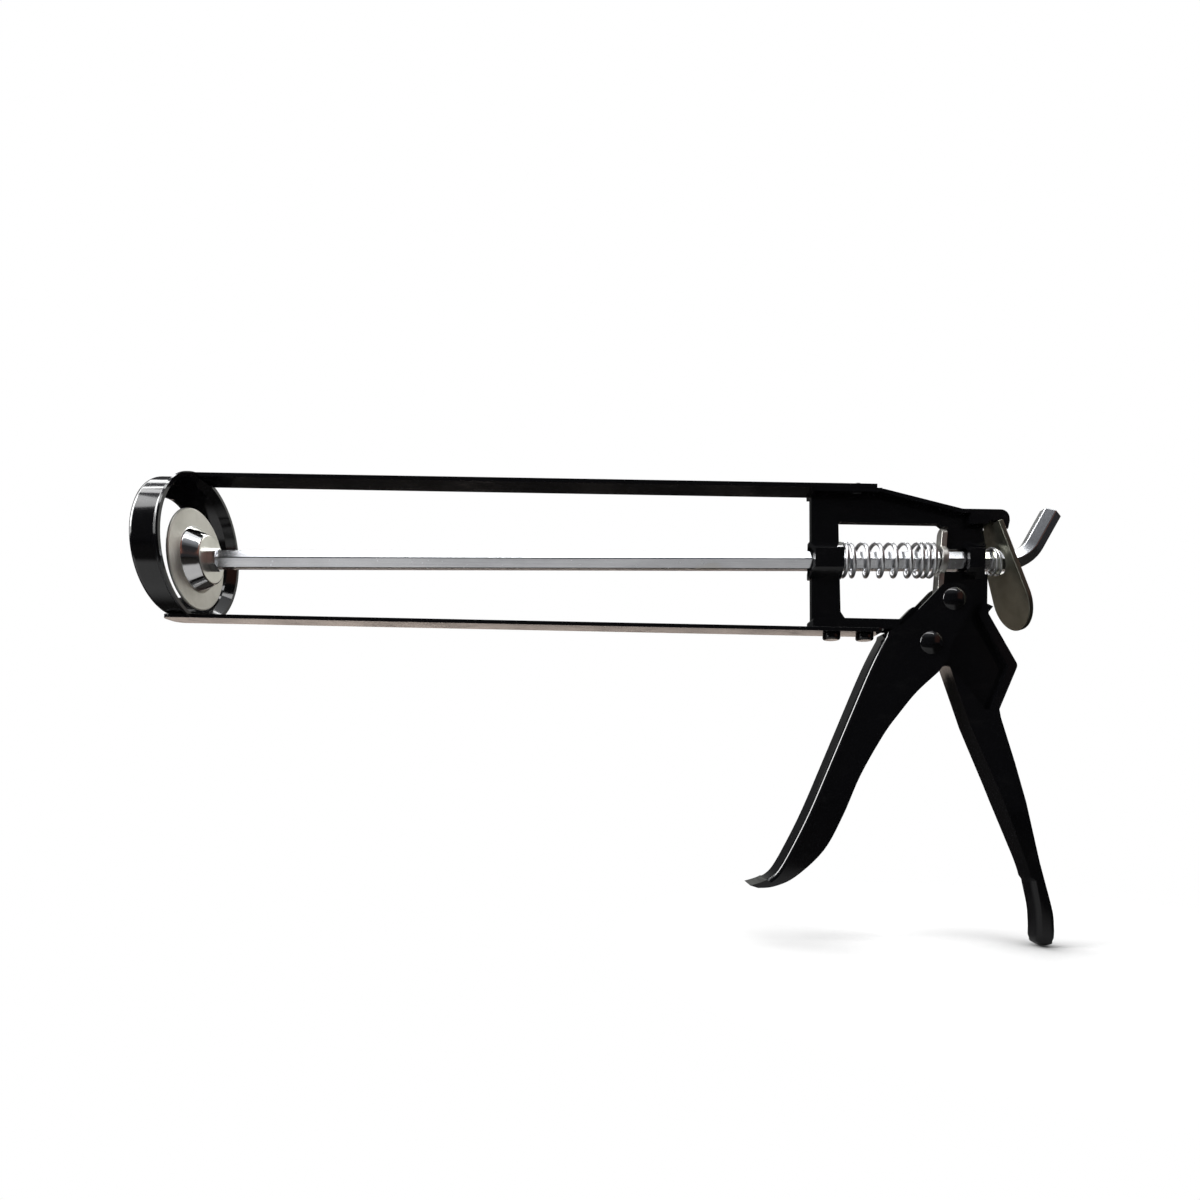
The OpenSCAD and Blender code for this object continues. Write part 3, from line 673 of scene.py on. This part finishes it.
# rod and piston
rod = {"edge": mm(0.3)}
finishPiece(cleanCopy("push_rod", "pushRod"), "push_rod", "bright_zinc", rod["edge"], 3, smooth=30)

piston = {"edge": mm(0.3), "hubEdge": mm(0.5)}
pistonDisc = cleanCopy("piston_disc", "pistonDisc", meshing["turnedFlat"])
finishPiece(pistonDisc, "piston_disc", "satin_zinc", piston["hubEdge"], 4, finish=pistonZinc)
for nodeName, pieceName in (("piston_lock_nut", "pistonLockNut"),
                            ("piston_washer", "pistonWasher"),
                            ("piston_nut", "pistonNut")):
    turned = cleanCopy(nodeName, pieceName, meshing["turnedFlat"])
    finishPiece(turned, nodeName, "bright_zinc", piston["edge"], 3)
print("pieces made")

# floor: the camera sees it white away from the shadow, reflections see it darker
floorLook = {
    "level": mm(-147.7),
    "middle": mm(178),
    "width": 5.0,
    "grey": (0.36, 0.36, 0.36, 1),
    "mirrorGrey": (0.265, 0.265, 0.265, 1),   # reflected from in front and below
    "farGrey": (0.015, 0.014, 0.013, 1),      # reflected from further off
    "backGrey": (0.80, 0.68, 0.60, 1),        # reflected from well behind
    "underFrom": (-0.25, -0.18),
    "underTo": (-0.04, 0.06),
    "underEnd": (0.34, 0.4),
    "backFrom": (0.54, 0.62),
    "backTo": (0.8, 0.95),
    "shadowAt": mm(345, 0, -147.7),
    "shadowRange": mm(60, 170),
    "glow": 0.7,
    "shadeReach": mm(55),
    "shadePower": 5.0,
    "shadeSamples": 16,
}
bpy.ops.object.select_all(action="DESELECT")
bpy.ops.mesh.primitive_plane_add(size=floorLook["width"], location=(0, 0, 0))
floor = bpy.context.object
floor.name = "floor"
bpy.ops.transform.translate(value=(floorLook["middle"], 0, floorLook["level"]))
bpy.ops.object.transform_apply(location=True)
floorMaterial = bpy.data.materials.new("paleFloor")
floorMaterial.use_nodes = True
tree = floorMaterial.node_tree
tree.nodes.clear()
start = Field(tree)
place = start.node("TexCoord", out="Object")
away = place.distance(floorLook["shadowAt"])
seen = start.node("LightPath", out="Is Camera Ray")
mirrored = start.node("LightPath", out="Is Glossy Ray")
under = place.axis("Y").between(floorLook["underFrom"], floorLook["underTo"]) \
    * (1 - place.axis("X").within(*floorLook["underEnd"]))
behind = place.axis("Y").between(floorLook["backFrom"], floorLook["backTo"])
reflected = under.blend(floorLook["farGrey"], floorLook["mirrorGrey"])
reflected = behind.blend(reflected, floorLook["backGrey"])
lit = start.node("BsdfDiffuse", None, {"Color": mirrored.blend(floorLook["grey"], reflected)})
# contact shadow: the glow fades where something stands close above
shade = start.node("AmbientOcclusion", {"samples": floorLook["shadeSamples"]},
                   {"Distance": floorLook["shadeReach"]}, out="AO")
shade = shade.sum("POWER", shade, floorLook["shadePower"])
glow = start.node("Emission", None, {"Color": shade.blend(pureBlack, pureWhite),
                                     "Strength": floorLook["glow"]})
white = start.node("Emission", None, {"Color": pureWhite, "Strength": 1})
near = start.node("AddShader", None, {0: lit, 1: glow})
spread = start.node("MixShader", None,
                    {0: away.within(*floorLook["shadowRange"]), 1: near, 2: white})
result = start.node("MixShader", None, {0: seen, 1: lit, 2: spread})
end = tree.nodes.new("ShaderNodeOutputMaterial")
tree.links.new(result.socket, end.inputs["Surface"])
floor.data.materials.append(floorMaterial)

lamps = [
    {"name": "backStrip", "at": (0.02, 0.50, 0.76), "towards": (0.16, 0.0, 0.0),
     "size": (1.6, 0.18), "power": 4.2},
    {"name": "topStrip", "at": (-0.05, 0.28, 0.80), "towards": (0.10, 0.0, 0.0),
     "size": (1.3, 0.06), "power": 2.6},
    {"name": "overhead", "at": (0.05, -0.20, 0.80), "towards": (0.10, 0.0, 0.0),
     "size": (1.4, 0.12), "power": 2.9},
    {"name": "leftPanel", "at": (-0.64, -0.18, 0.44), "towards": (0.25, 0.0, -0.03),
     "size": (0.7, 0.7), "power": 7.5},
    {"name": "leftStrip", "at": (-0.60, -0.22, 0.43), "towards": (0.25, 0.0, -0.03),
     "size": (0.24, 0.5), "power": 7.2},
]
for spec in lamps:
    data = bpy.data.lights.new(spec["name"], "AREA")
    data.shape = "RECTANGLE"
    data.size, data.size_y = spec["size"]
    data.energy = spec["power"]
    lamp = bpy.data.objects.new(spec["name"], data)
    lamp.location = spec["at"]
    aim = Vector(spec["towards"]) - Vector(spec["at"])
    lamp.rotation_euler = aim.to_track_quat("-Z", "Y").to_euler()
    lamp.visible_camera = False
    bpy.context.scene.collection.objects.link(lamp)

# the room is white for the camera; reflections see it dim in front, warm to the right,
# and bright behind and overhead. The bands are parts of a unit direction
room = {
    "front": (0.022, 0.022, 0.024, 1),
    "warmSide": (0.24, 0.105, 0.078, 1),
    "back": (0.70, 0.71, 0.67, 1),
    "above": (0.25, 0.26, 0.28, 1),
    "ceiling": (0.96, 0.98, 1.0, 1),
    "diffuse": 0.35,
    "backDepth": (0.1, 0.75),
    "backHeight": (0.02, 0.3),
    "backAlong": (-0.2, 0.45),
    "backLeast": 0.07,
    "warmFrom": (0.43, 0.56),
    "warmTo": (0.82, 0.92),
    "warmHeight": (0.08, 0.18),
    "aboveHeight": (0.55, 0.85),
    "ceilingHeight": (0.85, 0.93),
}
world = bpy.data.worlds.new("studio")
bpy.context.scene.world = world
world.use_nodes = True
tree = world.node_tree
tree.nodes.clear()
start = Field(tree)
way = start.node("TexCoord", out="Generated")
along, depth, up = way.axis("X"), way.axis("Y"), way.axis("Z")
fade = room["backLeast"] + (1 - room["backLeast"]) * along.within(*room["backAlong"])
wall = depth.within(*room["backDepth"]) * up.within(*room["backHeight"]) * fade
warm = along.between(room["warmFrom"], room["warmTo"]) * up.within(*room["warmHeight"])
low = warm.blend(room["front"], room["warmSide"])
low = wall.blend(low, room["back"])
tone = up.within(*room["aboveHeight"]).blend(low, room["above"])
tone = up.within(*room["ceilingHeight"]).blend(tone, room["ceiling"])
seen = start.node("LightPath", out="Is Camera Ray")
mirrored = start.node("LightPath", out="Is Glossy Ray")
plain = start.node("Background", None, {"Color": pureWhite, "Strength": room["diffuse"]})
white = start.node("Background", None, {"Color": pureWhite, "Strength": 1})
mirror = start.node("Background", None, {"Color": tone, "Strength": 1})
mixed = start.node("MixShader", None, {0: mirrored, 1: plain, 2: mirror})
mixed = start.node("MixShader", None, {0: seen, 1: mixed, 2: white})
end = tree.nodes.new("ShaderNodeOutputWorld")
tree.links.new(mixed.socket, end.inputs["Surface"])
print("studio lit")

camera = {
    "place": mm(178.1, -291.9, -84.4),
    "turnLeft": 0.0188,   # radians away from looking straight along +Y
    "tilt": 0.0243,       # radians that the right side is raised
    "lens": 22.32,
    "sensor": 36,
    "shiftY": 0.1433,
    "nearest": 0.01,
}
data = bpy.data.cameras.new("camera")
data.lens = camera["lens"]
data.sensor_width = camera["sensor"]
data.shift_y = camera["shiftY"]
data.clip_start = camera["nearest"]
forward = Vector((-math.sin(camera["turnLeft"]), math.cos(camera["turnLeft"]), 0))
level = forward.cross(Vector((0, 0, 1)))
right = level * math.cos(camera["tilt"]) + Vector((0, 0, math.sin(camera["tilt"])))
above = right.cross(forward)
turn = Matrix((right, above, -forward)).transposed().to_4x4()
viewer = bpy.data.objects.new("camera", data)
viewer.matrix_world = Matrix.Translation(camera["place"]) @ turn
bpy.context.scene.collection.objects.link(viewer)
bpy.context.scene.camera = viewer
bpy.context.scene.view_settings.view_transform = "Standard"
